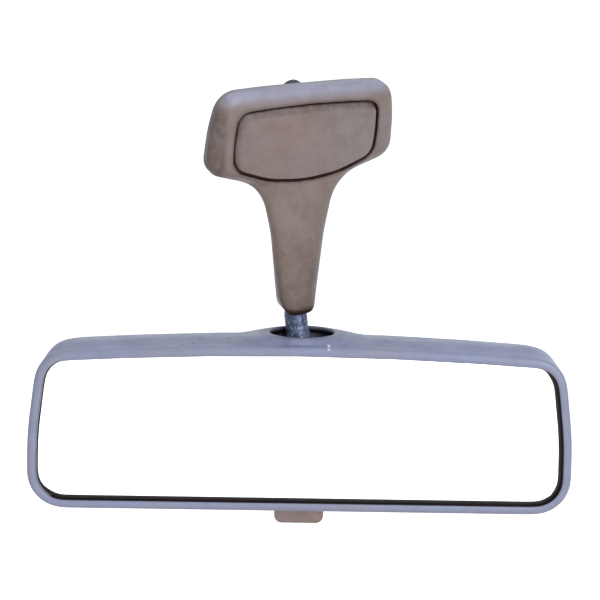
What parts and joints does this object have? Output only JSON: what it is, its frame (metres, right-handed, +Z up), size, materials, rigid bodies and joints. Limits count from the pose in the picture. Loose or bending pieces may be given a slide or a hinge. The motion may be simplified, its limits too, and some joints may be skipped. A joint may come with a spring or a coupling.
{
  "type": "interior rearview mirror",
  "caption": "Day/night interior rearview mirror: roof base and moulded arm, ball joint, and a wide framed prism mirror head with a tab lever.",
  "frame": {"origin": "middle of the base's back face, where it lies against the car's roof", "axes": "+Z up, the level mirror head looks along -Y and is wide along X; the base is turned 28 degrees from it, as it was put"},
  "size_m": [0.248, 0.0592, 0.2048],
  "materials": {
    "arm_plastic": "aged satin moulded plastic with fine wear and grime",
    "cap_plastic": "aged satin moulded plastic, slightly pinker",
    "housing_plastic": "blue-grey satin moulded plastic, worn edges",
    "tab_plastic": "satin moulded plastic with brown dirt",
    "cast_metal": "raw grey die casting, mottled and scuffed",
    "spring_steel": "pressed and plated steel",
    "screw_steel": "plated steel",
    "peg_rubber": "dark blue-black rubber",
    "nylon": "natural nylon",
    "socket_plastic": "black glass-filled nylon",
    "glass": "clear float glass wedge",
    "silvering": "silvered reflecting coat with dark back paint",
    "foam": "thin black foam sheet",
    "seal_rubber": "dark brown rubber strip"
  },
  "bodies": {
    "arm": {"arm_shell": "arm_plastic", "cap_panel": "cap_plastic", "cap_clips": "spring_steel", "base_plate": "spring_steel", "roof_spigot": "peg_rubber", "roof_screws": "screw_steel", "ball_stud": "cast_metal", "stud_pin": "screw_steel"},
    "swivel": {"ball_liner": "nylon"},
    "nod": {"friction_ring": "nylon"},
    "carrier": {"socket_body": "socket_plastic", "socket_cap": "socket_plastic", "clamp_screws": "screw_steel", "trunnion_pins": "screw_steel", "tilt_arm": "spring_steel", "arm_rivets": "screw_steel"},
    "head": {"housing_shell": "housing_plastic", "hinge_brackets": "spring_steel", "bracket_rivets": "screw_steel", "mirror_glass": "glass", "mirror_silvering": "silvering", "glass_gasket": "seal_rubber", "foam_pad": "foam", "lever_bracket": "spring_steel", "lever_pin": "screw_steel", "toggle_spring": "spring_steel"},
    "lever": {"toggle_lever": "tab_plastic"}
  },
  "joints": [
    {"name": "head_swivel", "type": "hinge", "parent": "arm", "child": "swivel", "pos_m": [0.00274, 0.01779, -0.10999], "axis": [-0.1392, 0.1427, 0.9799], "range_deg": [-17, 70]},
    {"name": "head_nod", "type": "hinge", "parent": "swivel", "child": "nod", "pos_m": [0.00274, 0.01779, -0.10999], "axis": [1, 0, 0], "range_deg": [-20, 1.2]},
    {"name": "head_roll", "type": "hinge", "parent": "nod", "child": "carrier", "pos_m": [0.00274, 0.01779, -0.10999], "axis": [0, 1, 0], "range_deg": [-19, 3]},
    {"name": "night_tilt", "type": "hinge", "parent": "carrier", "child": "head", "pos_m": [0.00274, 0.01779, -0.10999], "axis": [1, 0, 0], "range_deg": [-4.5, 0]},
    {"name": "lever_flip", "type": "hinge", "parent": "head", "child": "lever", "pos_m": [0.00274, 0.00979, -0.16799], "axis": [1, 0, 0], "range_deg": [-30.5, 0]}
  ],
  "couplings": [
    {"joint": "lever_flip", "follows": "night_tilt", "ratio": 6.6667}
  ]
}
